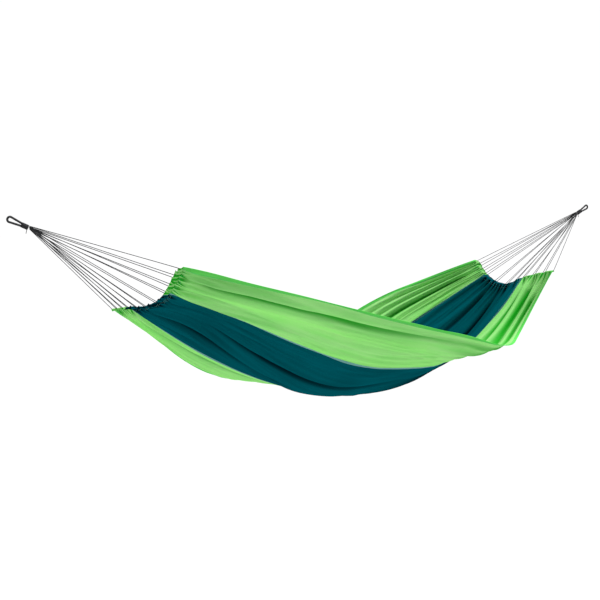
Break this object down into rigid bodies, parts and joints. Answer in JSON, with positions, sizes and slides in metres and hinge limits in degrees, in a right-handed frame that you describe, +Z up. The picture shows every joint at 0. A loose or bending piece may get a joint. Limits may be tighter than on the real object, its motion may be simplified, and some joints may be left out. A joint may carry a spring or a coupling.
{
  "type": "camping hammock",
  "caption": "Light travel hammock of three sewn nylon panels hung by fans of thin cord from a rope eye at each end.",
  "frame": {"origin": "point inside the left eye where the eye bears on its hook", "axes": "+X level towards the right eye, +Y away from the near edge of the bed, +Z up"},
  "size_m": [2.867, 1.1419, 0.8384],
  "materials": {
    "lime_nylon": "smooth satin woven nylon",
    "teal_nylon": "smooth satin woven nylon",
    "seam_thread": "folded and double stitched nylon",
    "black_cord": "twisted and braided polyester cord"
  },
  "bodies": {
    "hangers": {"left_eye": "black_cord", "left_lashing": "black_cord", "right_eye": "black_cord", "right_lashing": "black_cord"},
    "bed": {"center_panel": "teal_nylon", "far_seam": "seam_thread", "far_side_hem": "lime_nylon", "far_side_panel": "lime_nylon", "left_cord_01": "black_cord", "left_cord_02": "black_cord", "left_cord_03": "black_cord", "left_cord_04": "black_cord", "left_cord_05": "black_cord", "left_cord_06": "black_cord", "left_cord_07": "black_cord", "left_cord_08": "black_cord", "left_cord_09": "black_cord", "left_cord_10": "black_cord", "left_sleeve_01": "lime_nylon", "left_sleeve_02": "lime_nylon", "left_sleeve_03": "lime_nylon", "left_sleeve_04": "teal_nylon", "left_sleeve_05": "teal_nylon", "left_sleeve_06": "teal_nylon", "left_sleeve_07": "teal_nylon", "left_sleeve_08": "lime_nylon", "left_sleeve_09": "lime_nylon", "left_sleeve_10": "lime_nylon", "near_seam": "seam_thread", "near_side_hem": "lime_nylon", "near_side_panel": "lime_nylon", "right_cord_01": "black_cord", "right_cord_02": "black_cord", "right_cord_03": "black_cord", "right_cord_04": "black_cord", "right_cord_05": "black_cord", "right_cord_06": "black_cord", "right_cord_07": "black_cord", "right_cord_08": "black_cord", "right_cord_09": "black_cord", "right_cord_10": "black_cord", "right_sleeve_01": "lime_nylon", "right_sleeve_02": "lime_nylon", "right_sleeve_03": "lime_nylon", "right_sleeve_04": "teal_nylon", "right_sleeve_05": "teal_nylon", "right_sleeve_06": "teal_nylon", "right_sleeve_07": "teal_nylon", "right_sleeve_08": "lime_nylon", "right_sleeve_09": "lime_nylon", "right_sleeve_10": "lime_nylon"}
  },
  "joints": [
    {"name": "swing", "type": "hinge", "parent": "hangers", "child": "bed", "pos_m": [1.425, 0, -0.03209], "axis": [1, 0, 0], "range_deg": [-45, 45]}
  ]
}
